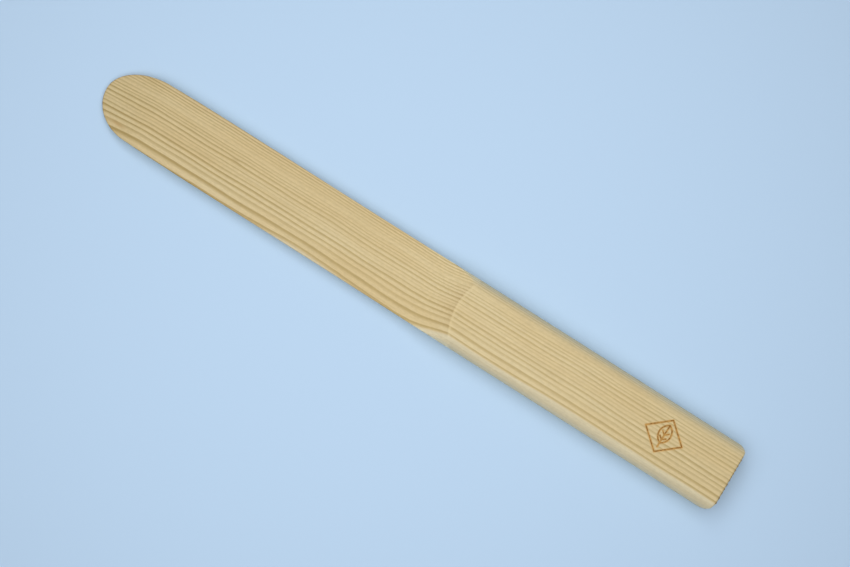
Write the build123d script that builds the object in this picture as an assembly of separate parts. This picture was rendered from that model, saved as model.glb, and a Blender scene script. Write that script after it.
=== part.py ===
# Wooden creasing folder: one bar of pine with a thick handle, a concave ramp down to a thin flat blade, and a
# rounded tip, with a small generic mark burned into the handle.
# Millimetres. +X runs from the handle's end to the tip, +Y across, and +Z up out of the marked face.
# The origin is under the middle of the bar, on the surface that it lies on.
from build123d import *

import os
from math import atan, cos, degrees, sin, sqrt

# The bar
LENGTH = 244.0
WIDTH = 24.8
THICKNESS = 8.0
FLAT_HALF_WIDTH = 9.2

# The handle's end: sawn a little out of square, then eased. The two corners seen from above differ.
END_LEAN = 0.0325
LEFT_CORNER_RADIUS = 4.6
RIGHT_CORNER_RADIUS = 3.2
END_EASING = 1.0

# The blade: the upper half of the bar is taken away, so its underside is the bar's own
BLADE_THICKNESS = 4.0
BLADE_INSET = 0.15
INSET_START = -15.0
INSET_END = 20.0
TAPER_START = 80.0
TAPER_INSET = 0.3

# The tip seen from above: a quarter ellipse on each side, the left one blunter
LEFT_ROUND_LENGTH = 14.8
RIGHT_ROUND_LENGTH = 19.0

# The bevel on top of the tip
BEVEL_LENGTH = 20.0
BEVEL_SLOPE = 0.15
BEVEL_BLEND_RADIUS = 25.0

# The ramp: a hollow arc that meets the blade smoothly and the handle's top at a shoulder line.
# The shoulder is bowed, nearest the tip a little to the right of the middle.
RAMP_FOOT = 3.2
SHOULDER_CREST = -15.0
SHOULDER_CREST_Y = -2.0
SHOULDER_BOW_RADIUS = 20.0
RAMP_SECTIONS = 5

# The burned mark: a lozenge round a leaf, on the handle
MARK_CENTRE = (-95.2, -1.2)
MARK_HALF_LENGTH = 7.0
MARK_HALF_WIDTH = 6.0
LEAF_TIP = -4.0
LEAF_BASE = 2.6
LEAF_HALF_WIDTH = 2.1
STEM_END = 4.1
VEIN_ROOTS = (1.5, -0.3)
VEIN_REACH = (1.15, -1.0)
STROKE = 0.5
GROOVE_DEPTH = 0.30
CHAR_THICKNESS = 0.12

HANDLE_END = -LENGTH / 2
TIP = LENGTH / 2
HALF_WIDTH = WIDTH / 2
STEP = THICKNESS - BLADE_THICKNESS
BLADE_HALF_WIDTH = HALF_WIDTH - BLADE_INSET
TIP_HALF_WIDTH = BLADE_HALF_WIDTH - TAPER_INSET
CLEARANCE = 5.0


def bar_blank():
    """The bar before shaping: a flat section whose long edges are round, with a faint crease beside each flat."""
    edges = [
        Line((-FLAT_HALF_WIDTH, 0), (FLAT_HALF_WIDTH, 0)),
        ThreePointArc((FLAT_HALF_WIDTH, 0), (HALF_WIDTH, THICKNESS / 2), (FLAT_HALF_WIDTH, THICKNESS)),
        Line((FLAT_HALF_WIDTH, THICKNESS), (-FLAT_HALF_WIDTH, THICKNESS)),
        ThreePointArc((-FLAT_HALF_WIDTH, THICKNESS), (-HALF_WIDTH, THICKNESS / 2), (-FLAT_HALF_WIDTH, 0)),
    ]
    section = Plane.YZ * make_face(edges)
    return Pos(HANDLE_END - CLEARANCE, 0, 0) * extrude(section, LENGTH + 2 * CLEARANCE, dir=(1, 0, 0))


def end_x(y):
    """The handle's end, which leans, at a distance across. It reaches furthest where the left corner starts."""
    return HANDLE_END + END_LEAN * (HALF_WIDTH - LEFT_CORNER_RADIUS - y)


def side_edges(side, round_length):
    """One long side seen from above: the handle, the inset, the blade, the taper and half of the tip."""
    round_start = TIP - round_length
    reach = round_start - TAPER_START
    taper_radius = (reach**2 + TAPER_INSET**2) / (2 * TAPER_INSET)
    half_turn = atan(reach / (taper_radius - TAPER_INSET)) / 2
    middle_x = TAPER_START + taper_radius * sin(half_turn)
    middle_y = BLADE_HALF_WIDTH - taper_radius * (1 - cos(half_turn))
    start = 0 if side > 0 else -90
    return [
        Line((end_x(side * HALF_WIDTH), side * HALF_WIDTH), (INSET_START, side * HALF_WIDTH)),
        Line((INSET_START, side * HALF_WIDTH), (INSET_END, side * BLADE_HALF_WIDTH)),
        Line((INSET_END, side * BLADE_HALF_WIDTH), (TAPER_START, side * BLADE_HALF_WIDTH)),
        ThreePointArc(
            (TAPER_START, side * BLADE_HALF_WIDTH),
            (middle_x, side * middle_y),
            (round_start, side * TIP_HALF_WIDTH),
        ),
        EllipticalCenterArc(
            (round_start, 0), round_length, TIP_HALF_WIDTH, start_angle=start, arc_size=90
        ),
    ]


def plan_prism():
    """What the bar keeps when it is cut to its outline seen from above."""
    end = Line((end_x(-HALF_WIDTH), -HALF_WIDTH), (end_x(HALF_WIDTH), HALF_WIDTH))
    outline = make_face(side_edges(1, LEFT_ROUND_LENGTH) + side_edges(-1, RIGHT_ROUND_LENGTH) + [end])
    left = outline.vertices().filter_by_position(Axis.X, HANDLE_END - 1, HANDLE_END + 1).sort_by(Axis.Y)[-1]
    outline = fillet(left, LEFT_CORNER_RADIUS)
    right = outline.vertices().filter_by_position(Axis.X, HANDLE_END - 1, HANDLE_END + 1).sort_by(Axis.Y)[0]
    outline = fillet(right, RIGHT_CORNER_RADIUS)
    return extrude(outline, THICKNESS)


def end_prism():
    """What the bar keeps when the upper and lower edges of its leaning end are eased."""
    reach = LENGTH + 2 * CLEARANCE
    outline = Pos(reach / 2, THICKNESS / 2) * Rectangle(reach, THICKNESS)
    corners = outline.vertices().filter_by_position(Axis.X, -1, 1)
    side = Plane.XZ * fillet(corners, END_EASING)
    turned = Rot(0, 0, degrees(atan(END_LEAN))) * extrude(side, 2 * WIDTH, both=True)
    return Pos(HANDLE_END, HALF_WIDTH - LEFT_CORNER_RADIUS, 0) * turned


def shoulder_x(y):
    """Where the ramp meets the handle's top, at a distance across."""
    return SHOULDER_CREST - (y - SHOULDER_CREST_Y) ** 2 / (2 * SHOULDER_BOW_RADIUS)


def ramp_radius(y):
    """The radius that takes the ramp from its foot to the shoulder, at a distance across."""
    run = RAMP_FOOT - shoulder_x(y)
    return (run**2 + STEP**2) / (2 * STEP)


def ramp_section(y):
    """The material that leaves above the ramp and the blade, cut through at a distance across."""
    radius = ramp_radius(y)
    rise = STEP + 1.0
    top_x = RAMP_FOOT - sqrt(radius**2 - (radius - rise) ** 2)
    half_turn = atan((RAMP_FOOT - top_x) / (radius - rise)) / 2
    middle = (RAMP_FOOT - radius * sin(half_turn), BLADE_THICKNESS + radius * (1 - cos(half_turn)))
    foot = (RAMP_FOOT, BLADE_THICKNESS)
    top = (top_x, BLADE_THICKNESS + rise)
    far = TIP + CLEARANCE
    edges = [
        ThreePointArc(foot, middle, top),
        Line(top, (far, top[1])),
        Line((far, top[1]), (far, BLADE_THICKNESS)),
        Line((far, BLADE_THICKNESS), foot),
    ]
    return Plane((0, y, 0), x_dir=(1, 0, 0), z_dir=(0, -1, 0)) * make_face(edges)


def ramp_cutter():
    """The material that leaves above the ramp and the blade."""
    reach = HALF_WIDTH + 1.0
    gap = 2 * reach / (RAMP_SECTIONS - 1)
    return loft([ramp_section(-reach + gap * i) for i in range(RAMP_SECTIONS)])


def bevel_cutter():
    """The material that leaves above the tip, below the blade's flat."""
    start = TIP - BEVEL_LENGTH
    turn = atan(BEVEL_SLOPE)
    blend_x = start + BEVEL_BLEND_RADIUS * sin(turn)
    blend_z = BLADE_THICKNESS - BEVEL_BLEND_RADIUS * (1 - cos(turn))
    middle_x = start + BEVEL_BLEND_RADIUS * sin(turn / 2)
    middle_z = BLADE_THICKNESS - BEVEL_BLEND_RADIUS * (1 - cos(turn / 2))
    far = TIP + CLEARANCE
    low = blend_z - BEVEL_SLOPE * (far - blend_x)
    high = THICKNESS + CLEARANCE
    edges = [
        ThreePointArc((start, BLADE_THICKNESS), (middle_x, middle_z), (blend_x, blend_z)),
        Line((blend_x, blend_z), (far, low)),
        Line((far, low), (far, high)),
        Line((far, high), (start, high)),
        Line((start, high), (start, BLADE_THICKNESS)),
    ]
    side = Plane.XZ * make_face(edges)
    return extrude(side, HALF_WIDTH + CLEARANCE, both=True)


def mark_strokes():
    """The lozenge and the leaf inside it, as strokes of one width, seen from above."""
    corners = [
        (-MARK_HALF_LENGTH, 0),
        (0, -MARK_HALF_WIDTH),
        (MARK_HALF_LENGTH, 0),
        (0, MARK_HALF_WIDTH),
    ]
    lines = [Line(corners[i - 1], corners[i]) for i in range(4)]
    lines.append(Line((0, LEAF_TIP), (0, STEM_END)))
    for side in (-1, 1):
        bulge = (side * LEAF_HALF_WIDTH, (LEAF_TIP + LEAF_BASE) / 2)
        lines.append(ThreePointArc((0, LEAF_TIP), bulge, (0, LEAF_BASE)))
        for root in VEIN_ROOTS:
            lines.append(Line((0, root), (side * VEIN_REACH[0], root + VEIN_REACH[1])))
    strokes = Sketch()
    for line in lines:
        strokes += SlotArc(line, STROKE)
    return Pos(*MARK_CENTRE, 0) * strokes


def folder_body(strokes):
    """The whole wooden tool, with the mark's grooves."""
    grooves = extrude(Pos(0, 0, THICKNESS - GROOVE_DEPTH) * strokes, GROOVE_DEPTH + 1.0)
    body = bar_blank() & plan_prism() & end_prism()
    return body - ramp_cutter() - bevel_cutter() - grooves


def burned_mark(strokes):
    """The charred layer that lies on the floor of the mark's grooves."""
    return extrude(Pos(0, 0, THICKNESS - GROOVE_DEPTH) * strokes, CHAR_THICKNESS)


mark = mark_strokes()
nodes = {"folder_body": folder_body(mark), "burned_mark": burned_mark(mark)}

os.makedirs("parts", exist_ok=True)
for name, shape in nodes.items():
    export_step(shape, f"parts/{name}.step")
    box = shape.bounding_box()
    print(name, "solids", len(shape.solids()), "volume", round(shape.volume, 1), "size", box.size)
print("ramp radius at the shoulder's crest", round(ramp_radius(SHOULDER_CREST_Y), 1))
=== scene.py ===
"""Looks for the wooden creasing folder: one bar of pine with growth rings that run through the solid, a mark
burned into the handle, and a plain studio. Lengths and places are in millimetres in the row frame, and MM turns
them into metres where an object is made. Left is +Y and right is -Y, seen from above with the tip ahead."""
import math

import bmesh
import bpy
import numpy as np
from mathutils import Matrix, Vector


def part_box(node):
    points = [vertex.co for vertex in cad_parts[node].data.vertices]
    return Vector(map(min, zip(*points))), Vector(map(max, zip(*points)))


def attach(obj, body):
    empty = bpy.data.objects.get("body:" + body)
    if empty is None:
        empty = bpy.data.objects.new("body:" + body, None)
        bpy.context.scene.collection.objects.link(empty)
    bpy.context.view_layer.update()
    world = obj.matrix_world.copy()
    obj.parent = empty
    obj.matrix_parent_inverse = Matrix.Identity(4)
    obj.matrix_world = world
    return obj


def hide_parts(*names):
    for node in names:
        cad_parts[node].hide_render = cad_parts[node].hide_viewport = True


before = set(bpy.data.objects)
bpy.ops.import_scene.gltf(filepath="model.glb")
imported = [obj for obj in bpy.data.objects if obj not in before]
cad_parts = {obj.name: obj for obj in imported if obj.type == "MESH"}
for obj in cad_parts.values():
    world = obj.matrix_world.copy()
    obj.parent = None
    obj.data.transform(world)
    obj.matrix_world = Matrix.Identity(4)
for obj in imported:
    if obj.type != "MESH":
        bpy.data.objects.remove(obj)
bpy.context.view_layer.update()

MM = 0.001
# Stand-ins for nothing and for further than anything on the part
TINY = 1e-6
FAR = 1e3
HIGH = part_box("folder_body")[1] / MM
MARK_LOW, MARK_HIGH = (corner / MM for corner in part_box("burned_mark"))

# ---------------------------------------------------------------- the bar's shape, as in the CAD
TIP = HIGH.x
HANDLE_END = -TIP
HALF_WIDTH = HIGH.y
THICKNESS = HIGH.z
FLAT_HALF_WIDTH = 9.2
END_LEAN = 0.0325
# The end's lean fades out over this length of the handle.
END_LEAN_REACH = 25.0
LEFT_CORNER_RADIUS = 4.6
RIGHT_CORNER_RADIUS = 3.2
END_EASING = 1.0
# Stations nearer the handle's end than this are eased like the end, and the others like the blade.
END_EASING_REACH = 6.0
BLADE_THICKNESS = 4.0
BLADE_INSET = 0.15
INSET_START = -15.0
INSET_END = 20.0
TAPER_START = 80.0
TAPER_INSET = 0.3
LEFT_ROUND_LENGTH = 14.8
RIGHT_ROUND_LENGTH = 19.0
BEVEL_LENGTH = 20.0
BEVEL_SLOPE = 0.15
BEVEL_BLEND_RADIUS = 25.0
RAMP_FOOT = 3.2
SHOULDER_CREST = -15.0
SHOULDER_CREST_Y = -2.0
SHOULDER_BOW_RADIUS = 20.0
# The CAD's sharp edges, worn round
ARRIS_RADIUS = 0.32
SHOULDER_SOFTNESS = 0.05
# The round edges stop this far short of their widest line, so that the side keeps a narrow band of faces.
SIDE_TRIM = 0.02

STEP = THICKNESS - BLADE_THICKNESS
TIP_ROUND_START = TIP - RIGHT_ROUND_LENGTH
BLADE_HALF_WIDTH = HALF_WIDTH - BLADE_INSET
TIP_HALF_WIDTH = BLADE_HALF_WIDTH - TAPER_INSET
# Each long edge is one arc from the top's crease, round the widest line, to the underside's crease.
EDGE_WIDTH = HALF_WIDTH - FLAT_HALF_WIDTH
EDGE_RADIUS = (EDGE_WIDTH**2 + (THICKNESS / 2) ** 2) / (2 * EDGE_WIDTH)
EDGE_CENTRE = HALF_WIDTH - EDGE_RADIUS

# ---------------------------------------------------------------- the mark, as in the CAD
MARK_CENTRE = ((MARK_LOW.x + MARK_HIGH.x) / 2, (MARK_LOW.y + MARK_HIGH.y) / 2)
MARK_HALF_LENGTH = 7.0
MARK_HALF_WIDTH = 6.0
LEAF_TIP = -4.0
LEAF_BASE = 2.6
LEAF_HALF_WIDTH = 2.1
STEM_END = 4.1
VEIN_ROOTS = (1.5, -0.3)
VEIN_REACH = (1.15, -1.0)
STROKE = 0.5
# The grooves are a little deeper than the CAD's, so that the charred layer covers their floor. Each is flat this
# far out from its stroke's middle line, and its wall slopes over the next stretch.
GROOVE_DEPTH = 0.32
GROOVE_FLOOR = 0.12
GROOVE_WALL = 0.16
SCORCH_REACH = 0.22

# ---------------------------------------------------------------- the tree that the bar was cut from
# The pith runs along the bar outside it, on the left and above. Each ring has a band of late wood at its radius,
# as dark as its share below.
PITH_Y, PITH_Z = 18.0, 12.7
RING_RADII = (2.0, 4.2, 6.0, 7.6, 9.2, 10.75, 12.75, 14.5, 15.95, 17.5, 18.75, 19.8, 20.7, 22.0, 23.45, 24.55,
              25.55, 26.7, 28.2, 29.2, 30.2, 31.2, 32.2, 33.2, 34.2, 35.2)
RING_DARKNESS = (0.8, 0.8, 0.8, 0.8, 0.05, 0.9, 0.95, 0.55, 0.85, 0.92, 0.64, 0.3, 0.68, 0.82, 0.78, 0.58,
                 0.7, 0.36, 0.32, 0.6, 0.55, 0.85, 0.85, 0.65, 0.6, 0.6)
# How strongly the rings show, and how pale the wood is, at places along the bar
CONTRAST_PLACES = (-118.0, -85.0, -60.0, -25.0, -8.0, 5.0, 31.0, 44.0, 58.0, 74.0, 91.0, 112.0)
CONTRAST = (0.96, 0.86, 0.8, 0.85, 1.0, 0.96, 0.95, 1.02, 1.1, 1.22, 1.34, 1.3)
TONE_PLACES = (-118.0, -60.0, 5.0, 110.0)
TONE = (1.01, 1.018, 1.018, 0.955)
# The radii that the shader's curves cover
RADIUS_RANGE = (0.0, 38.0)
# Across one ring, from 0 to 1: late wood deepens from its start to its end, then stops at the ring's edge.
LATE_WOOD_START = 0.32
LATE_WOOD_END = 0.90
LATE_WOOD_CENTRE = 0.80
RAGGED_RINGS = 0.20
# How far early wood lies below late wood, on faces along the bar and on the handle's end
LATE_WOOD_RELIEF = 0.025
END_GRAIN_RELIEF = 0.28
# The inner wood near the pith is paler, out to the end of this span of radii.
INNER_WOOD_SPAN = (10.0, 10.6)

# How the grain wanders along the bar, away from the pith where a value is positive. Spans lie along the bar,
# radii are from the pith, and a hump or dip is its place along the bar, its reach and its height.
END_DRIFT = 0.9
END_DRIFT_SPAN = (-20.0, -115.0)
OUTER_RADII = (17.3, 21.8)
HANDLE_HUMP = (-62.0, 14.0, 0.25)
HANDLE_DIP = (-37.0, 10.0, -0.10)
INNER_END_DRIFT = 0.25
INNER_END_RADII = (12.5, 11.5)
INNER_END_SPAN = (-50.0, -65.0)
TIP_DRIFT = -0.8
TIP_DRIFT_START = 36.0
TIP_DRIFT_LENGTH = 65.0
TIP_DRIFT_MOST = 1.1
TIP_DRIFT_RADII = (11.967, 18.217)
TIP_DRIFT_SHARES = (0.3, 1.05)
TIP_END_DRIFT = 0.45
TIP_END_SPAN = (105.0, 120.0)
TIP_END_RADII = (24.0, 18.0)
OUTER_CURVE = -0.15
OUTER_CURVE_START = 22.4
BLADE_DIP = (20.0, 8.0, -0.12)
BLADE_DRIFT = -0.05
BLADE_DRIFT_SPAN = (0.0, 20.0)
INNER_RADII = (16.5, 14.5)
INNER_HUMP = (38.0, 14.0, 0.28)
INNER_DIP = (5.0, 9.0, -0.25)
INMOST_RADII = (12.3, 11.5)
INMOST_HUMP = (34.0, 25.0, 0.46)
RAMP_DIP = (-7.0, 6.0, -0.27)
RAMP_DIP_DEPTH = STEP / 3
# Two small waves: height, millimetres along for a radian, radians for a millimetre across, and first angle
WAVES = ((0.05, 5.3, 0.3, 2.1), (0.03, 2.9, -0.6, 0.0))

# A small knot and a resin streak: the place seen from above, and the reach along and across. Neither goes down
# past its floor.
KNOT = (72.5, -2.7)
KNOT_SIZE = (1.0, 0.8)
KNOT_BEND = 0.3
KNOT_BEND_SIZE = (3.0, 1.1)
KNOT_FLOOR = 2.0
RESIN_STREAK = (112.0, 8.3)
RESIN_SIZE = (2.4, 0.6)
RESIN_FLOOR = 1.0

# A painted highlight along the shoulder's arris: a narrow pale line with fainter rings, just behind the crest.
ARRIS_HIGHLIGHT_OFFSET = 0.25
ARRIS_HIGHLIGHT_WIDTH = 0.4
ARRIS_HIGHLIGHT_DEPTH = 1.5
ARRIS_HIGHLIGHT_FADE = 0.5
ARRIS_HIGHLIGHT_TONE = 0.03
# The ramp is painted paler where it is steep, as painted light on the faces that tilt towards the lamps, and the
# blade's rim is polished by use.
RAMP_PAINTED_LIGHT = 0.35
RIM_WIDTH = 0.7
# The rounded long edges are painted greyer, a painted cool reflection of the pale blue floor, down to this depth,
# and more so on the right and further out. The blade's top is left out, which is told by how far a face looks up.
ROUND_REFLECTION_DEPTH = 1.2
ROUND_REFLECTION_LEFT, ROUND_REFLECTION_RIGHT = 0.2, 1.0
BLADE_TOP_SPAN = (0.75, 0.90)
OUTER_ROUND_SPAN = (10.9, 11.8)
OUTER_ROUND_REFLECTION = 0.5
# The outer part of each round is painted paler as well: painted light that the rounds catch, more on the left.
OUTER_PAINTED_LIGHT_LEFT, OUTER_PAINTED_LIGHT_RIGHT = 0.07, 0.02
# Beside the right crease is a darker band, which starts over the first span across and fades over the second.
CREASE_TONE = -0.03
CREASE_START = (8.6, 8.9)
CREASE_FADE = (11.4, 10.5)
# A face counts as end grain the more it looks along the bar.
END_FACE_SPAN = (0.3125, 0.9375)
# Only faces that look up and lie within this depth of the top can hold the mark.
MARKED_FACE_UP = 0.5
MARKED_FACE_DEPTH = 1.0


def share(value, start, end):
    """How far a value has gone from a start to an end, from 0 to 1."""
    return np.clip((value - start) / (end - start), 0, 1)


def hump(x, shape):
    """A rounded hump along the bar, given as its place, its reach and its height."""
    place, reach, height = shape
    return height * np.exp(-(((x - place) / reach) ** 2))


def spot(x, y, place, size):
    """A rounded spot seen from above, 1 at its middle."""
    return np.exp(-(((x - place[0]) / size[0]) ** 2) - ((y - place[1]) / size[1]) ** 2)


def bar_drop(y):
    """How far the rounded long edge lies below the bar's top, at a distance across. On the flat it is negative."""
    over = np.clip(np.abs(y) - EDGE_CENTRE, 0, EDGE_RADIUS)
    return THICKNESS / 2 - np.sqrt(EDGE_RADIUS**2 - over**2)


def easing(distance, radius):
    """How far a rounded edge lies below its face, at a distance in from the rim."""
    short = np.clip(radius - distance, 0, radius)
    return radius - np.sqrt(radius**2 - short**2)


def by_side(y, left, right):
    """One of two values: the left one where y is positive."""
    return np.where(y > 0, left, right)


def half_width(x, side):
    """From the middle line to the rim seen from above, on the side that a number's sign tells."""
    round_length = by_side(side, LEFT_ROUND_LENGTH, RIGHT_ROUND_LENGTH)
    reach = TIP - round_length - TAPER_START
    taper_radius = (reach**2 + TAPER_INSET**2) / (2 * TAPER_INSET)
    into_taper = np.clip(x - TAPER_START, 0, reach)
    width = np.interp(x, (INSET_START, INSET_END), (HALF_WIDTH, BLADE_HALF_WIDTH))
    width = width - taper_radius + np.sqrt(taper_radius**2 - into_taper**2)
    into_tip = np.clip((x - TIP + round_length) / round_length, 0, 1)
    width = (width - SIDE_TRIM) * np.sqrt(1 - into_tip**2)
    return width - easing(x - HANDLE_END, by_side(side, LEFT_CORNER_RADIUS, RIGHT_CORNER_RADIUS))


def rim_distance(x, y):
    """How far in from the rim seen from above a point lies."""
    corner = by_side(y, LEFT_CORNER_RADIUS, RIGHT_CORNER_RADIUS)
    from_end = x - HANDLE_END
    from_side = HALF_WIDTH - np.abs(y)
    at_corner = corner - np.hypot(np.maximum(corner - from_end, 0), np.maximum(corner - from_side, 0))
    in_corner = (from_end < corner) & (from_side < corner)
    end_distance = np.where(in_corner, at_corner, np.minimum(from_end, from_side))
    side_distance = half_width(x, y) - np.abs(y)
    round_length = by_side(y, LEFT_ROUND_LENGTH, RIGHT_ROUND_LENGTH)
    along = np.maximum(x - TIP + round_length, 0) / round_length
    across = y / TIP_HALF_WIDTH
    reach = np.maximum(np.hypot(along, across), TINY)
    slope = np.hypot(along / round_length, across / TIP_HALF_WIDTH)
    tip_distance = (1 - reach) * reach / np.maximum(slope, TINY)
    distance = np.where(x < HANDLE_END + END_EASING_REACH, end_distance, side_distance)
    return np.maximum(np.where(along > 0, tip_distance, distance), 0)


def shoulder_x(y):
    """Where the ramp meets the handle's top."""
    return SHOULDER_CREST - (y - SHOULDER_CREST_Y) ** 2 / (2 * SHOULDER_BOW_RADIUS)


def ramp_height(x, y):
    """The hollow ramp, which runs on upward beyond the handle's top."""
    run = RAMP_FOOT - shoulder_x(y)
    radius = (run**2 + STEP**2) / (2 * STEP)
    back = np.clip(RAMP_FOOT - x, 0, radius)
    return BLADE_THICKNESS + radius - np.sqrt(radius**2 - back**2)


def bevel_height(x):
    """The top of the blade where the bevel thins it towards the tip."""
    turn = math.atan(BEVEL_SLOPE)
    into = np.maximum(x - (TIP - BEVEL_LENGTH), 0)
    blend = BEVEL_BLEND_RADIUS * math.sin(turn)
    arc = BEVEL_BLEND_RADIUS - np.sqrt(BEVEL_BLEND_RADIUS**2 - np.minimum(into, blend) ** 2)
    return BLADE_THICKNESS - arc - BEVEL_SLOPE * np.maximum(into - blend, 0)


def soft_minimum(a, b, softness):
    """The lower of two heights, with the crease between them rounded."""
    blend = np.maximum(softness - np.abs(a - b), 0) / softness
    return np.minimum(a, b) - blend**2 * softness / 4


def easing_radius(x):
    """The handle's end is eased more than the blade's arrises."""
    return np.where(x < HANDLE_END + END_EASING_REACH, END_EASING, ARRIS_RADIUS)


def top_height(x, y):
    """The upper surface at a point seen from above."""
    cut = np.where(x < RAMP_FOOT, ramp_height(x, y), bevel_height(x))
    face = soft_minimum(np.full_like(x, THICKNESS), cut, SHOULDER_SOFTNESS)
    face = np.where(cut > THICKNESS + SHOULDER_SOFTNESS, THICKNESS, face)
    face = face - easing(rim_distance(x, y), easing_radius(x))
    return soft_minimum(face, THICKNESS - bar_drop(y), SHOULDER_SOFTNESS)


def bottom_height(x, y):
    """The lower surface at a point seen from above."""
    return np.maximum(np.maximum(bar_drop(y), 0), easing(rim_distance(x, y), easing_radius(x)))


# ---------------------------------------------------------------- the grid that the surfaces are sampled on
ACROSS_FLAT = 29
ACROSS_EDGE = 16
UP_SIDE = 8
PLAIN_SPACING = 1.25
# Closer stations just behind the shoulder
ARRIS_ZONE = 1.6
ARRIS_STATIONS = 6
RAMP_STATIONS = 44
TIP_STATIONS = 36
# The last station stops just short of the tip, so that the mesh ends in a narrow face there.
LAST_TURN = 0.995
END_STATIONS = 16
# How far back along the handle the stations follow the shoulder's bow
BOW_FADE = 30.0


def across_positions():
    """Places across the bar as shares of the flat (0 to 1) and of the edge zone (1 to 2), both ways from 0."""
    flat = np.linspace(0, 1, ACROSS_FLAT + 1)
    crease = math.asin((FLAT_HALF_WIDTH - EDGE_CENTRE) / EDGE_RADIUS)
    turn = np.sin(np.linspace(crease, math.pi / 2, ACROSS_EDGE + 1))[1:]
    edge = 1 + (turn - math.sin(crease)) / (1 - math.sin(crease))
    side = np.concatenate([flat, edge])
    return np.concatenate([-side[:0:-1], side])


def across_to_y(shares, width):
    """Turns shares across into millimetres for a half-width. The edge zone keeps its width until the tip."""
    edge = np.minimum(EDGE_WIDTH, width / 2)
    size = np.abs(shares)
    return np.sign(shares) * (np.minimum(size, 1) * (width - edge) + np.maximum(size - 1, 0) * edge)


def stations():
    """Places along the bar, closer together at its ends and on the ramp."""
    end_zone = LEFT_CORNER_RADIUS * (1 - np.cos(np.linspace(0, math.pi / 2, END_STATIONS + 1)))
    end_part = HANDLE_END + end_zone
    near_shoulder = SHOULDER_CREST - ARRIS_ZONE
    handle_count = round((near_shoulder - end_part[-1]) / PLAIN_SPACING)
    handle_part = np.linspace(end_part[-1], near_shoulder, handle_count + 1)[1:]
    arris_part = np.linspace(near_shoulder, SHOULDER_CREST, ARRIS_STATIONS + 1)[1:]
    ramp_part = np.linspace(SHOULDER_CREST, RAMP_FOOT, RAMP_STATIONS + 1)[1:]
    blade_count = round((TIP_ROUND_START - RAMP_FOOT) / PLAIN_SPACING)
    blade_part = np.linspace(RAMP_FOOT, TIP_ROUND_START, blade_count + 1)[1:]
    turn = np.linspace(0, math.pi / 2, TIP_STATIONS + 1)[1:] * LAST_TURN
    tip_part = TIP_ROUND_START + RIGHT_ROUND_LENGTH * np.sin(turn)
    return np.concatenate([end_part, handle_part, arris_part, ramp_part, blade_part, tip_part])


def bowed(x, y):
    """Moves a straight station so that one of them lies along the bowed shoulder."""
    ahead = (RAMP_FOOT - x) / (RAMP_FOOT - SHOULDER_CREST)
    behind = 1 - (SHOULDER_CREST - x) / BOW_FADE
    follow = np.clip(np.where(x > SHOULDER_CREST, ahead, behind), 0, 1)
    return x + follow * (shoulder_x(y) - SHOULDER_CREST)


def leaning(x, y):
    """Moves the handle's end, which is out of square, and less the stations near it."""
    fade = np.clip(1 - (x - HANDLE_END) / END_LEAN_REACH, 0, 1)
    return x + END_LEAN * (HALF_WIDTH - LEFT_CORNER_RADIUS - y) * fade


def surface_grid():
    """Points of the top and the bottom, as arrays of station by place across."""
    along, shares = stations(), across_positions()[None, :]
    x = np.repeat(along[:, None], shares.size, axis=1)
    y = across_to_y(shares, half_width(x, shares))
    x = bowed(x, y)
    y = across_to_y(shares, half_width(x, shares))
    top = np.stack([leaning(x, y), y, top_height(x, y)], axis=-1)
    bottom = np.stack([leaning(x, y), y, bottom_height(x, y)], axis=-1)
    return top, bottom


def bar_mesh():
    """Vertices and quads of the closed bar: top, bottom, two sides and two ends on one grid."""
    top, bottom = surface_grid()
    count, width = top.shape[:2]
    levels = [bottom + (top - bottom) * k / UP_SIDE for k in range(UP_SIDE + 1)]
    block = np.stack(levels, axis=0)
    number = -np.ones(block.shape[:3], int)
    shell = np.zeros_like(number, bool)
    shell[0] = shell[-1] = True
    shell[:, 0] = shell[:, -1] = True
    shell[:, :, 0] = shell[:, :, -1] = True
    number[shell] = np.arange(shell.sum())
    quads = []

    def add(a, b, c, d):
        quads.append(np.stack([a, b, c, d], axis=-1).reshape(-1, 4))

    for k, up in ((UP_SIDE, True), (0, False)):
        n = number[k]
        ring = (n[:-1, :-1], n[1:, :-1], n[1:, 1:], n[:-1, 1:])
        add(*(ring if up else ring[::-1]))
    for j, left in ((width - 1, True), (0, False)):
        n = number[:, :, j]
        ring = (n[:-1, :-1], n[1:, :-1], n[1:, 1:], n[:-1, 1:])
        add(*(ring if left else ring[::-1]))
    for i, front in ((count - 1, True), (0, False)):
        n = number[:, i, :]
        ring = (n[:-1, :-1], n[:-1, 1:], n[1:, 1:], n[1:, :-1])
        add(*(ring if front else ring[::-1]))
    return block[shell], np.concatenate(quads)


# ---------------------------------------------------------------- the mark's strokes
def arc_points(side, steps=20):
    """One edge of the leaf, a circular arc from its tip to its base."""
    half = (LEAF_BASE - LEAF_TIP) / 2
    radius = (half**2 + LEAF_HALF_WIDTH**2) / (2 * LEAF_HALF_WIDTH)
    reach = math.asin(half / radius)
    middle = (LEAF_TIP + LEAF_BASE) / 2
    centre = LEAF_HALF_WIDTH - radius
    turns = [reach * (2 * i / steps - 1) for i in range(steps + 1)]
    return [(side * (centre + radius * math.cos(a)), middle + radius * math.sin(a)) for a in turns]


def stroke_segments():
    """Every stroke of the mark as short straight segments."""
    lozenge = [(-MARK_HALF_LENGTH, 0), (0, -MARK_HALF_WIDTH), (MARK_HALF_LENGTH, 0), (0, MARK_HALF_WIDTH)]
    paths = [lozenge + lozenge[:1], [(0, LEAF_TIP), (0, STEM_END)]]
    for side in (-1, 1):
        paths.append(arc_points(side))
        for root in VEIN_ROOTS:
            paths.append([(0, root), (side * VEIN_REACH[0], root + VEIN_REACH[1])])
    pairs = [(a, b) for path in paths for a, b in zip(path, path[1:])]
    return np.array(pairs) + np.array(MARK_CENTRE)


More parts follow.
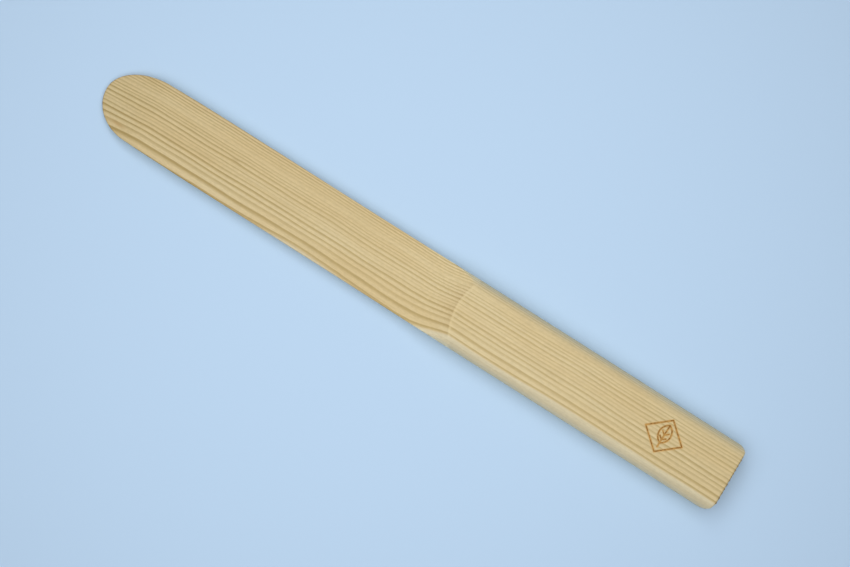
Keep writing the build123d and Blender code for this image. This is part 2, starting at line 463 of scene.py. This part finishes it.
def stroke_distance(x, y):
    """Distance seen from above to the nearest stroke's middle line."""
    nearest = np.full(len(x), FAR)
    for (ax, ay), (bx, by) in stroke_segments():
        dx, dy = bx - ax, by - ay
        along = np.clip(((x - ax) * dx + (y - ay) * dy) / (dx * dx + dy * dy), 0, 1)
        nearest = np.minimum(nearest, np.hypot(x - ax - along * dx, y - ay - along * dy))
    return nearest


# ---------------------------------------------------------------- the wood
def grain_drift(x, y, z, radius):
    """How far the grain has wandered away from the pith at a point."""
    outer = share(radius, *OUTER_RADII)
    below = share(z, THICKNESS, BLADE_THICKNESS)
    to_tip = np.clip((x - TIP_DRIFT_START) / TIP_DRIFT_LENGTH, 0, TIP_DRIFT_MOST)
    drift = END_DRIFT * share(x, *END_DRIFT_SPAN) * outer
    drift += hump(x, HANDLE_HUMP) + hump(x, HANDLE_DIP) * (1 - outer)
    drift += INNER_END_DRIFT * share(radius, *INNER_END_RADII) * share(x, *INNER_END_SPAN)
    drift += TIP_DRIFT * to_tip * np.interp(radius, TIP_DRIFT_RADII, TIP_DRIFT_SHARES)
    drift += TIP_END_DRIFT * share(x, *TIP_END_SPAN) * share(radius, *TIP_END_RADII)
    drift += OUTER_CURVE * np.maximum(radius - OUTER_CURVE_START, 0) * below
    drift += (hump(x, BLADE_DIP) + BLADE_DRIFT * share(x, *BLADE_DRIFT_SPAN)) * below
    drift += (hump(x, INNER_HUMP) + hump(x, INNER_DIP)) * share(radius, *INNER_RADII) * below
    drift += hump(x, INMOST_HUMP) * share(radius, *INMOST_RADII)
    drift += hump(x, RAMP_DIP) * share(z, THICKNESS, THICKNESS - RAMP_DIP_DEPTH)
    for height, length, across, start in WAVES:
        drift += height * np.sin(x / length + across * y + start)
    return drift


def ring_radius(x, y, z):
    """Distance from the pith with the grain's drift taken off, so that a ring keeps one value along the bar."""
    radius = np.hypot(PITH_Y - y, PITH_Z - z)
    bend = KNOT_BEND * spot(x, y, KNOT, KNOT_BEND_SIZE) * np.sign(KNOT[1] - y)
    return radius - grain_drift(x, y, z, radius) + bend


def ring_edges():
    """Where each ring ends, a little outside the middle of its late wood."""
    gaps = np.diff(RING_RADII, prepend=0.0)
    return np.array(RING_RADII) + (1 - LATE_WOOD_CENTRE) * gaps


def late_wood(radius):
    """From 0 in pale early wood to 1 in the dark late wood that ends each ring."""
    phase = np.interp(radius, ring_edges(), np.arange(len(RING_RADII)))
    through = phase - np.floor(phase)
    rise = share(through, LATE_WOOD_START, LATE_WOOD_END)
    fall = share(through, 1, LATE_WOOD_END)
    return rise**2 * fall * np.interp(radius, RING_RADII, RING_DARKNESS)


def vertex_array(mesh, what="co"):
    """The vertices' places or normals, as rows of three."""
    values = np.empty(len(mesh.vertices) * 3, np.float32)
    mesh.vertices.foreach_get(what, values)
    return values.reshape(-1, 3).astype(float)


def set_attribute(mesh, name, values):
    """Gives each vertex a number that a material can read."""
    layer = mesh.attributes.new(name, "FLOAT", "POINT")
    layer.data.foreach_set("value", np.asarray(values, np.float32))


# The faces within this margin round the mark, and this close under the top, are divided.
MARK_MARGIN = 1.0
MARK_BAND = 0.5
MARK_CUTS_ALONG = 15
MARK_CUTS_ACROSS = 3


def refine_mark(mesh):
    """Divides the top's faces round the mark finely enough for its grooves."""
    reach_x, reach_y = MARK_HALF_LENGTH + MARK_MARGIN, MARK_HALF_WIDTH + MARK_MARGIN
    bm = bmesh.new()
    bm.from_mesh(mesh)

    def near(face):
        middle = face.calc_center_median()
        inside = abs(middle.x - MARK_CENTRE[0]) < reach_x and abs(middle.y - MARK_CENTRE[1]) < reach_y
        return inside and middle.z > THICKNESS - MARK_BAND

    for axis, cuts in ((0, MARK_CUTS_ALONG), (1, MARK_CUTS_ACROSS)):
        faces = [face for face in bm.faces if near(face)]
        edges = {edge for face in faces for edge in face.edges}
        spans = {edge: edge.verts[0].co - edge.verts[1].co for edge in edges}
        along = [edge for edge, span in spans.items() if abs(span[axis]) > abs(span[1 - axis])]
        bmesh.ops.subdivide_edges(bm, edges=along, cuts=cuts, use_grid_fill=True)
    bm.to_mesh(mesh)
    bm.free()


def edge_looks(x, y, z, up):
    """How strong the rings, how pale the wood and how grey the long edges are, with painted light on the arris,
    ramp and rounds and a painted grey on the rounds. Up is the normals' Z.
    """
    # Painted highlight where the shoulder's arris catches the light
    arris_highlight = np.exp(-(((x - shoulder_x(y) + ARRIS_HIGHLIGHT_OFFSET) / ARRIS_HIGHLIGHT_WIDTH) ** 2)) * (z > THICKNESS - ARRIS_HIGHLIGHT_DEPTH)
    on_ramp = (x > shoulder_x(y)) & (x < RAMP_FOOT) & (z > BLADE_THICKNESS)
    off_blade_top = 1 - share(up, *BLADE_TOP_SPAN) * (x > SHOULDER_CREST)
    outer = share(np.abs(y), *OUTER_ROUND_SPAN) * off_blade_top
    crease = share(-y, *CREASE_START) * share(-y, *CREASE_FADE) * off_blade_top
    # The arris's painted highlight fades the rings and pales the wood; the steep ramp and the outer rounds are
    # painted paler as painted light.
    contrast = np.interp(x, CONTRAST_PLACES, CONTRAST) * (1 - ARRIS_HIGHLIGHT_FADE * arris_highlight)
    tone_and_painted_light = np.interp(x, TONE_PLACES, TONE) * (1 + ARRIS_HIGHLIGHT_TONE * arris_highlight) * (1 + RAMP_PAINTED_LIGHT * on_ramp * (1 - up))
    tone_and_painted_light *= 1 + CREASE_TONE * crease + by_side(y, OUTER_PAINTED_LIGHT_LEFT, OUTER_PAINTED_LIGHT_RIGHT) * outer
    # The rounds' painted grey, a painted cool reflection of the floor, stronger on their outer part
    round_reflection = share(bar_drop(y), 0, ROUND_REFLECTION_DEPTH) * by_side(y, ROUND_REFLECTION_LEFT, ROUND_REFLECTION_RIGHT) * off_blade_top
    return {"contrast": contrast, "tone_and_painted_light": tone_and_painted_light, "round": round_reflection + OUTER_ROUND_REFLECTION * outer}


def relief(x, y, z, normal, radius, stroke):
    """Where each vertex moves: early wood sinks along its normal, and the mark's grooves go straight down."""
    end_grain = share(np.abs(normal[:, 0]), *END_FACE_SPAN) * (x < 0)
    deep = LATE_WOOD_RELIEF + (END_GRAIN_RELIEF - LATE_WOOD_RELIEF) * end_grain
    wall = share(stroke, GROOVE_FLOOR, GROOVE_FLOOR + GROOVE_WALL)
    groove = GROOVE_DEPTH * (1 - wall * wall * (3 - 2 * wall))
    moved = np.stack([x, y, z], axis=-1) - normal * ((1 - late_wood(radius)) * deep)[:, None]
    moved[:, 2] = np.maximum(moved[:, 2] - groove, 0)
    return moved


def make_body():
    """The whole wooden tool as one closed mesh, with relief from the grain and the mark's grooves."""
    points, quads = bar_mesh()
    mesh = bpy.data.meshes.new("pine_bar")
    mesh.from_pydata(points.tolist(), [], quads.tolist())
    refine_mark(mesh)
    mesh.update()
    x, y, z = vertex_array(mesh).T
    normal = vertex_array(mesh, "normal")
    radius = ring_radius(x, y, z)
    marked_face = (normal[:, 2] > MARKED_FACE_UP) & (z > THICKNESS - MARKED_FACE_DEPTH)
    stroke = np.where(marked_face, stroke_distance(x, y), FAR)
    looks = {
        "ring_radius": radius,
        "scorch": np.exp(-(np.maximum(stroke - STROKE / 2, 0) / SCORCH_REACH) ** 2),
        "rim": np.exp(-rim_distance(x, y) / RIM_WIDTH) * (x > RAMP_FOOT),
        "knot": spot(x, y, KNOT, KNOT_SIZE) * (z > KNOT_FLOOR),
        "resin": spot(x, y, RESIN_STREAK, RESIN_SIZE) * (z > RESIN_FLOOR),
        **edge_looks(x, y, z, normal[:, 2]),
    }
    moved = relief(x, y, z, normal, radius, stroke)
    mesh.vertices.foreach_set("co", (moved * MM).astype(np.float32).ravel())
    for name, values in looks.items():
        set_attribute(mesh, name, values)
    mesh.polygons.foreach_set("use_smooth", np.ones(len(mesh.polygons), bool))
    mesh.update()
    body = bpy.data.objects.new("pine_bar", mesh)
    bpy.context.scene.collection.objects.link(body)
    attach(body, "root")
    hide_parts("folder_body")
    return body


# ---------------------------------------------------------------- node helpers
class Shader:
    """A material's node tree, with short calls for its nodes. An input is a number or another node's output."""

    def __init__(self, name):
        self.material = bpy.data.materials.new(name)
        self.material.use_nodes = True
        self.tree = self.material.node_tree
        self.tree.nodes.clear()
        self.surface = self.node("ShaderNodeBsdfPrincipled")
        output = self.node("ShaderNodeOutputMaterial")
        self.tree.links.new(self.surface.outputs["BSDF"], output.inputs["Surface"])

    def node(self, kind, **settings):
        """A new node with its settings."""
        made = self.tree.nodes.new(kind)
        for key, value in settings.items():
            setattr(made, key, value)
        return made

    def put(self, socket, value):
        """Links a node's output to an input, or sets the input to a number or a colour."""
        if isinstance(value, bpy.types.NodeSocket):
            self.tree.links.new(value, socket)
        else:
            socket.default_value = value

    def math(self, operation, *values, clamp=False):
        """One sum on numbers or other nodes' outputs."""
        made = self.node("ShaderNodeMath", operation=operation, use_clamp=clamp)
        for socket, value in zip(made.inputs, values):
            self.put(socket, value)
        return made.outputs[0]

    def span(self, value, low, high, to_low=0.0, to_high=1.0, smooth=False):
        """A value's place between low and high, turned into one between two other numbers and held there."""
        kind = "SMOOTHSTEP" if smooth else "LINEAR"
        made = self.node("ShaderNodeMapRange", interpolation_type=kind, clamp=True)
        for socket, number in zip(made.inputs, (value, low, high, to_low, to_high)):
            self.put(socket, number)
        return made.outputs[0]

    def attribute(self, name):
        """A number that each vertex of the mesh holds."""
        return self.node("ShaderNodeAttribute", attribute_name=name).outputs["Fac"]

    def place(self, scale):
        """The point in the row frame in millimetres, times a scale for each axis."""
        where = self.node("ShaderNodeTexCoord").outputs["Object"]
        made = self.node("ShaderNodeVectorMath", operation="MULTIPLY")
        self.put(made.inputs[0], where)
        made.inputs[1].default_value = [s / MM for s in scale]
        return made.outputs[0]

    def noise(self, settings):
        """Noise from 0 to 1, given as its cells per millimetre along each axis, detail and roughness."""
        scale, detail, rough = settings
        made = self.node("ShaderNodeTexNoise", noise_dimensions="3D")
        self.put(made.inputs["Vector"], self.place(scale))
        made.inputs["Scale"].default_value = 1.0
        made.inputs["Detail"].default_value = detail
        made.inputs["Roughness"].default_value = rough
        return made.outputs["Fac"]

    def curve(self, value, points):
        """A curve of straight runs through points that lie in the unit square."""
        made = self.node("ShaderNodeFloatCurve")
        line = made.mapping.curves[0]
        line.points[0].location = points[0]
        line.points[1].location = points[-1]
        for point in points[1:-1]:
            line.points.new(*point)
        for point in line.points:
            point.handle_type = "VECTOR"
        made.mapping.update()
        self.put(made.inputs["Value"], value)
        return made.outputs[0]

    def mix(self, amount, a, b, blend="MIX"):
        """Two colours mixed, each an (r, g, b) or another node's output."""
        made = self.node("ShaderNodeMix", data_type="RGBA", blend_type=blend)
        self.put(made.inputs["Factor"], amount)
        for socket, colour in ((made.inputs["A"], a), (made.inputs["B"], b)):
            self.put(socket, (*colour, 1.0) if isinstance(colour, tuple) else colour)
        return made.outputs["Result"]

    def shaded(self, colour, value):
        """A colour made darker or paler by a factor."""
        made = self.node("ShaderNodeCombineColor")
        for socket in made.inputs:
            self.put(socket, value)
        return self.mix(1.0, colour, made.outputs[0], blend="MULTIPLY")

    def toward(self, colour, other, mask, most):
        """A colour mixed with another by a mask, up to a largest amount."""
        return self.mix(self.math("MULTIPLY", mask, most), colour, other)

    def bump(self, height, distance, strength):
        """Fine relief from a height of 0 to 1, which stands for a distance in millimetres."""
        made = self.node("ShaderNodeBump")
        made.inputs["Strength"].default_value = strength
        made.inputs["Distance"].default_value = distance * MM
        self.put(made.inputs["Height"], height)
        self.tree.links.new(made.outputs["Normal"], self.surface.inputs["Normal"])


def srgb(red, green, blue):
    """An 8-bit display colour as the linear values that a shader takes. No part of it is below 11."""
    return tuple(((part / 255 + 0.055) / 1.055) ** 2.4 for part in (red, green, blue))


# ---------------------------------------------------------------- materials
EARLY_WOOD = srgb(222, 200, 151)
EARLY_WOOD_WARM = srgb(218, 192, 139)
INNER_WOOD = srgb(219, 206, 172)
# Grey painted on the rounded long edges: a painted cool reflection of the floor
ROUND_REFLECTION_GREY = srgb(206, 202, 176)
LATE_WOOD = srgb(176, 148, 84)
END_GRAIN = srgb(160, 129, 84)
KNOT_WOOD = srgb(176, 148, 92)
RESIN_WOOD = srgb(184, 140, 74)
SCORCHED = srgb(208, 168, 100)
CHAR = srgb(148, 100, 42)
CHAR_EDGE = srgb(204, 156, 86)

# Noise in the wood: cells per millimetre along, across and up, then detail and roughness
RAGGED_NOISE = ((0.25, 2.2, 2.2), 3.0, 0.5)
PATCH_NOISE = ((0.02, 0.12, 0.12), 2.0, 0.5)
STREAK_NOISE = ((0.03, 1.6, 1.6), 4.0, 0.6)
FIBRE_NOISE = ((0.10, 9.0, 9.0), 3.0, 0.6)
CANAL_NOISE = ((0.35, 4.0, 4.0), 3.0, 0.6)
FLECK_NOISE = ((0.8, 2.2, 2.2), 2.0, 0.6)
SCORCH_NOISE = ((1.1, 1.1, 1.1), 3.0, 0.5)
CHAR_NOISE = ((0.9, 0.9, 0.9), 4.0, 0.6)
CHAR_GRAIN_NOISE = ((0.8, 7.0, 7.0), 2.0, 0.5)

# The most of each colour that its mask mixes in
INNER_MOST = 0.8
ROUND_REFLECTION_MOST = 0.45
STREAK_MOST = 0.22
LATE_MOST = 0.95
CANAL_MOST = 0.35
KNOT_MOST = 0.42
RESIN_MOST = 0.55
RIM_MOST = 0.22
CHAR_GRAIN_MOST = 0.4

# The darkest and palest factors of the fine texture
FIBRE_SHADE = (0.94, 1.045)
CANAL_SHADE = (0.965, 1.035)
FLECK_SHADE = (0.945, 1.055)

EARLY_ROUGHNESS = 0.62
LATE_ROUGHNESS = 0.48
STREAK_ROUGHNESS = (-0.04, 0.06)
RIM_POLISH = 0.10
CHAR_ROUGHNESS = (0.7, 0.9)
FIBRE_BUMP = (0.03, 0.5)
CHAR_BUMP = (0.06, 0.6)


def ring_darkness(s):
    """Late wood from the ring attribute: across each ring it deepens slowly, then ends sharply."""
    last = len(RING_RADII) - 1
    low, high = RADIUS_RANGE
    ragged = s.math("MULTIPLY_ADD", s.noise(RAGGED_NOISE), RAGGED_RINGS, -RAGGED_RINGS / 2)
    where = s.span(s.math("ADD", s.attribute("ring_radius"), ragged), low, high)
    steps = [(0.0, 0.0)] + [((r - low) / (high - low), i / last) for i, r in enumerate(ring_edges())]
    through = s.math("FRACT", s.math("MULTIPLY", s.curve(where, steps + [(1.0, 1.0)]), float(last)))
    rise = s.span(through, LATE_WOOD_START, LATE_WOOD_END, smooth=True)
    fall = s.span(through, LATE_WOOD_END, 1.0, 1.0, 0.0)
    depths = [((r - low) / (high - low), d) for r, d in zip(RING_RADII, RING_DARKNESS)]
    depth = s.curve(where, [(0.0, depths[0][1])] + depths + [(1.0, depths[-1][1])])
    depth = s.math("MULTIPLY", depth, s.attribute("contrast"))
    return s.math("MULTIPLY", s.math("MULTIPLY", rise, fall), depth)


def clear_wood(s, late, streaks, fibres, canals):
    """The colour of the wood along the grain, with its painted light and the painted grey on the rounds, before
    the things that lie on it.
    """
    warm = s.span(s.noise(PATCH_NOISE), 0.35, 0.7)
    colour = s.mix(warm, EARLY_WOOD, EARLY_WOOD_WARM)
    colour = s.mix(s.span(s.attribute("ring_radius"), *INNER_WOOD_SPAN, INNER_MOST, 0.0), colour, INNER_WOOD)
    # Painted grey on the rounded long edges, standing in for the floor's cool reflection
    colour = s.toward(colour, ROUND_REFLECTION_GREY, s.attribute("round"), ROUND_REFLECTION_MOST)
    colour = s.mix(s.span(streaks, 0.45, 0.8, 0.0, STREAK_MOST), colour, LATE_WOOD)
    colour = s.mix(s.math("MULTIPLY", late, LATE_MOST, clamp=True), colour, LATE_WOOD)
    fibre_shade = s.span(fibres, 0.25, 0.75, *FIBRE_SHADE)
    # The tone holds the painted highlight and painted light from edge_looks as well as the paleness along the bar.
    colour = s.shaded(colour, s.math("MULTIPLY", fibre_shade, s.attribute("tone_and_painted_light")))
    colour = s.shaded(colour, s.span(canals, 0.3, 0.7, *CANAL_SHADE))
    return s.shaded(colour, s.span(s.noise(FLECK_NOISE), 0.3, 0.7, *FLECK_SHADE))


def end_grain_mask(s, late):
    """Where a face looks along the bar, and more so on its late wood."""
    normal = s.node("ShaderNodeSeparateXYZ")
    s.put(normal.inputs[0], s.node("ShaderNodeNewGeometry").outputs["Normal"])
    facing = s.math("ABSOLUTE", normal.outputs["X"])
    return s.math("MULTIPLY", s.span(facing, 0.2, 0.7, smooth=True), s.span(late, 0.0, 0.6, 0.35, 0.95))


def pine():
    """Bare sanded pine: rings through the solid, fibres, resin canals, darker end grain, scorch by the mark, and
    painted light on the shoulder's arris, the ramp and the rounded edges.
    """
    s = Shader("pine")
    late = ring_darkness(s)
    streaks, fibres, canals = s.noise(STREAK_NOISE), s.noise(FIBRE_NOISE), s.noise(CANAL_NOISE)
    canal = s.span(canals, 0.72, 0.80)
    colour = clear_wood(s, late, streaks, fibres, canals)
    colour = s.toward(colour, RESIN_WOOD, canal, CANAL_MOST)
    colour = s.mix(end_grain_mask(s, late), colour, END_GRAIN)
    colour = s.toward(colour, KNOT_WOOD, s.attribute("knot"), KNOT_MOST)
    colour = s.toward(colour, RESIN_WOOD, s.attribute("resin"), RESIN_MOST)
    colour = s.toward(colour, RESIN_WOOD, s.attribute("rim"), RIM_MOST)
    uneven = s.span(s.noise(SCORCH_NOISE), 0.3, 0.7, 0.55, 1.0)
    colour = s.mix(s.math("MULTIPLY", s.attribute("scorch"), uneven), colour, SCORCHED)
    s.put(s.surface.inputs["Base Color"], colour)
    rough = s.span(late, 0.0, 1.0, EARLY_ROUGHNESS, LATE_ROUGHNESS)
    rough = s.math("ADD", rough, s.span(streaks, 0.3, 0.7, *STREAK_ROUGHNESS))
    rough = s.math("SUBTRACT", rough, s.math("MULTIPLY", s.attribute("rim"), RIM_POLISH))
    s.put(s.surface.inputs["Roughness"], rough)
    s.surface.inputs["Specular IOR Level"].default_value = 0.5
    height = s.math("MULTIPLY_ADD", fibres, 0.6, s.math("MULTIPLY", late, 0.5))
    height = s.math("SUBTRACT", height, s.math("MULTIPLY", canal, 0.5))
    s.bump(height, *FIBRE_BUMP)
    return s.material


def charred_pine():
    """The burned wood in the mark's grooves: brown, uneven and matt."""
    s = Shader("charred_pine")
    patches, grain = s.noise(CHAR_NOISE), s.noise(CHAR_GRAIN_NOISE)
    colour = s.mix(s.span(patches, 0.40, 0.60), CHAR, CHAR_EDGE)
    colour = s.mix(s.span(grain, 0.5, 0.75, 0.0, CHAR_GRAIN_MOST), colour, CHAR)
    s.put(s.surface.inputs["Base Color"], colour)
    s.put(s.surface.inputs["Roughness"], s.span(patches, 0.3, 0.7, *CHAR_ROUGHNESS))
    s.surface.inputs["Specular IOR Level"].default_value = 0.2
    s.bump(s.math("ADD", patches, s.math("MULTIPLY", grain, 0.5)), *CHAR_BUMP)
    return s.material


def use_material(thing, material):
    """Gives an object one material and no other."""
    thing.data.materials.clear()
    thing.data.materials.append(material)


# ---------------------------------------------------------------- studio
# The camera looks straight down and is turned this far about +Z, which puts the tip at the upper left.
CAMERA_TURN = math.radians(212.36)
CAMERA_PLACE = (-2.29, -1.52)
CAMERA_LENS = 60.0
SENSOR = 36.0
# How wide the picture is at the height of the blade's top
FRAME_WIDTH = 281.1
FLOOR_SIZE = 6000.0
FLOOR_COLOUR = srgb(196, 220, 242)
LIGHT_COLOUR = (0.931, 0.96, 1.0)
WORLD_STRENGTH = 0.156
# A large low disc over the part gives the narrow even shadow, and a far one on the right lights its edges. Each is
# its name, place, diameter and power in watts.
AREA_LIGHTS = (("key", (5.0, 6.0, 280.0), 580.0, 1.24), ("side", (620.0, -650.0, 750.0), 500.0, 1.35))


def make_camera():
    """A camera over the part, high enough that the picture has its width at the blade's top."""
    data = bpy.data.cameras.new("camera")
    data.lens = CAMERA_LENS
    data.sensor_width = SENSOR
    camera = bpy.data.objects.new("camera", data)
    bpy.context.scene.collection.objects.link(camera)
    height = BLADE_THICKNESS + FRAME_WIDTH * CAMERA_LENS / SENSOR
    place = Vector((*CAMERA_PLACE, height)) * MM
    camera.matrix_world = Matrix.Translation(place) @ Matrix.Rotation(CAMERA_TURN, 4, "Z")
    bpy.context.scene.camera = camera


def make_floor():
    """The plain pale surface that the part lies on."""
    mesh = bpy.data.meshes.new("floor")
    half = FLOOR_SIZE * MM / 2
    corners = [(-half, -half, 0), (half, -half, 0), (half, half, 0), (-half, half, 0)]
    mesh.from_pydata(corners, [], [(0, 1, 2, 3)])
    floor = bpy.data.objects.new("floor", mesh)
    bpy.context.scene.collection.objects.link(floor)
    s = Shader("floor")
    s.surface.inputs["Base Color"].default_value = (*FLOOR_COLOUR, 1.0)
    s.surface.inputs["Roughness"].default_value = 0.8
    s.surface.inputs["Specular IOR Level"].default_value = 0.2
    use_material(floor, s.material)


def add_area_light(name, place, size, power):
    """A disc of light that faces the middle of the part."""
    data = bpy.data.lights.new(name, "AREA")
    data.shape = "DISK"
    data.size = size * MM
    data.energy = power
    data.color = LIGHT_COLOUR
    light = bpy.data.objects.new(name, data)
    light.location = Vector(place) * MM
    light.rotation_mode = "QUATERNION"
    light.rotation_quaternion = (-Vector(place)).to_track_quat("-Z", "Y")
    bpy.context.scene.collection.objects.link(light)


def make_studio():
    """A weak even world light and the two discs."""
    world = bpy.data.worlds.new("studio")
    world.use_nodes = True
    background = world.node_tree.nodes["Background"]
    background.inputs["Color"].default_value = (*LIGHT_COLOUR, 1.0)
    background.inputs["Strength"].default_value = WORLD_STRENGTH
    bpy.context.scene.world = world
    for light in AREA_LIGHTS:
        add_area_light(*light)
    bpy.context.scene.view_settings.view_transform = "Standard"


make_camera()
body = make_body()
use_material(body, pine())
use_material(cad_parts["burned_mark"], charred_pine())
make_floor()
make_studio()
